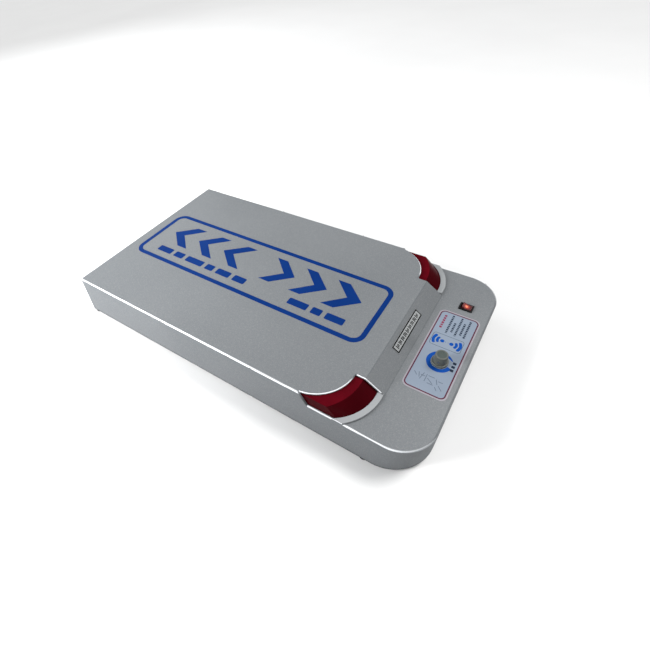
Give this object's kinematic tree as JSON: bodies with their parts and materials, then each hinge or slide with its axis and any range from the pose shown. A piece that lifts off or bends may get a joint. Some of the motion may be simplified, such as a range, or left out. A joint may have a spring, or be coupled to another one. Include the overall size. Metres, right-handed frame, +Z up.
{
  "type": "tabletop detector plate",
  "caption": "Low tabletop security detector: raised silver detection plateau with blue arrows, red corner lamps, and a sloped step down to a control deck with knob and rocker switch.",
  "frame": {"origin": "centre of the footprint on the table, at the underside of the rubber feet", "axes": "+X towards the control deck along the long side, -Y the long side that the arrows are read from, +Z up"},
  "size_m": [0.6468, 0.3586, 0.0768],
  "materials": {
    "black_plastic": "black nylon",
    "blue_film": "blue printed film",
    "capacitor_sleeve": "dark blue sleeve",
    "chip_epoxy": "black epoxy",
    "circuit_board": "green solder mask",
    "contact_brass": "bright brass",
    "copper_wire": "enamelled copper winding",
    "core_steel": "laminated silicon steel",
    "dark_plastic": "dark phenolic",
    "ferrite": "dark sintered ferrite",
    "foot_rubber": "matt black rubber",
    "heat_sink": "bare aluminium",
    "knob_cap_plastic": "darker grey plastic",
    "knob_plastic": "grey satin plastic",
    "lead_pvc": "black PVC sleeve",
    "led_epoxy": "clear tinted epoxy",
    "nameplate_foil": "satin foil plate with a dark border",
    "panel_film": "printed polyester film, light blue",
    "plated_metal": "nickel plated",
    "red_lens": "transparent dark red moulded plastic",
    "rocker_red": "translucent red plastic, lit from inside",
    "screw_steel": "zinc-plated steel",
    "silver_paint": "metallic silver paint over moulded plastic, satin gloss",
    "tray_plastic": "dark grey ABS",
    "white_plastic": "satin white plastic",
    "zinc_sheet": "zinc-plated sheet with a dull grain"
  },
  "bodies": {
    "housing": {"area_graphic_film": "blue_film", "base_plate": "zinc_sheet", "base_screws": "screw_steel", "board_capacitors": "capacitor_sleeve", "board_chips": "chip_epoxy", "board_connectors": "white_plastic", "board_screws": "screw_steel", "board_standoffs": "contact_brass", "buzzer": "black_plastic", "coil_formers": "white_plastic", "coil_lead": "lead_pvc", "dial_lead": "lead_pvc", "foot_screws": "screw_steel", "front_lamp_board": "circuit_board", "front_lamp_lead": "lead_pvc", "front_lamp_leds": "led_epoxy", "front_lamp_lens": "red_lens", "front_lamp_reflector": "white_plastic", "inlet_lead": "lead_pvc", "lens_screws": "screw_steel", "main_circuit_board": "circuit_board", "panel_label": "panel_film", "pot_bushing": "plated_metal", "pot_housing": "dark_plastic", "pot_nut": "plated_metal", "pot_terminals": "contact_brass", "pot_track": "dark_plastic", "pot_washer": "plated_metal", "power_inlet_body": "black_plastic", "power_inlet_nut": "plated_metal", "power_inlet_pin": "plated_metal", "power_inlet_tabs": "contact_brass", "rear_lamp_board": "circuit_board", "rear_lamp_lead": "lead_pvc", "rear_lamp_leds": "led_epoxy", "rear_lamp_lens": "red_lens", "rear_lamp_reflector": "white_plastic", "regulator_heat_sink": "heat_sink", "rubber_feet": "foot_rubber", "sensor_coils": "copper_wire", "sensor_core_bars": "core_steel", "sensor_magnets": "ferrite", "sensor_tray": "tray_plastic", "slope_nameplate": "nameplate_foil", "switch_body": "black_plastic", "switch_lead": "lead_pvc", "switch_terminals": "contact_brass", "top_cover": "silver_paint", "tray_screws": "screw_steel"},
    "knob": {"knob_body": "knob_plastic", "knob_cap": "knob_cap_plastic", "knob_set_screw": "screw_steel", "pot_shaft": "plated_metal", "pot_wiper": "contact_brass"},
    "rocker": {"rocker": "rocker_red", "rocker_plunger": "contact_brass", "rocker_spring": "screw_steel", "rocker_glow_lamp": "led_epoxy"},
    "contact_lever": {"contact_lever": "contact_brass"}
  },
  "joints": [
    {"name": "knob_turn", "type": "hinge", "parent": "housing", "child": "knob", "pos_m": [0.2862, -0.0205, 0.062], "axis": [0, 0, 1], "range_deg": [-150, 150]},
    {"name": "rocker_tilt", "type": "hinge", "parent": "housing", "child": "rocker", "pos_m": [0.2854, 0.0994, 0.057], "axis": [0, 1, 0], "range_deg": [-24, 0]},
    {"name": "contact_tilt", "type": "hinge", "parent": "housing", "child": "contact_lever", "pos_m": [0.2854, 0.0994, 0.0462], "axis": [0, 1, 0], "range_deg": [0, 14.4]}
  ],
  "couplings": [
    {"joint": "contact_tilt", "follows": "rocker_tilt", "ratio": -0.6}
  ]
}
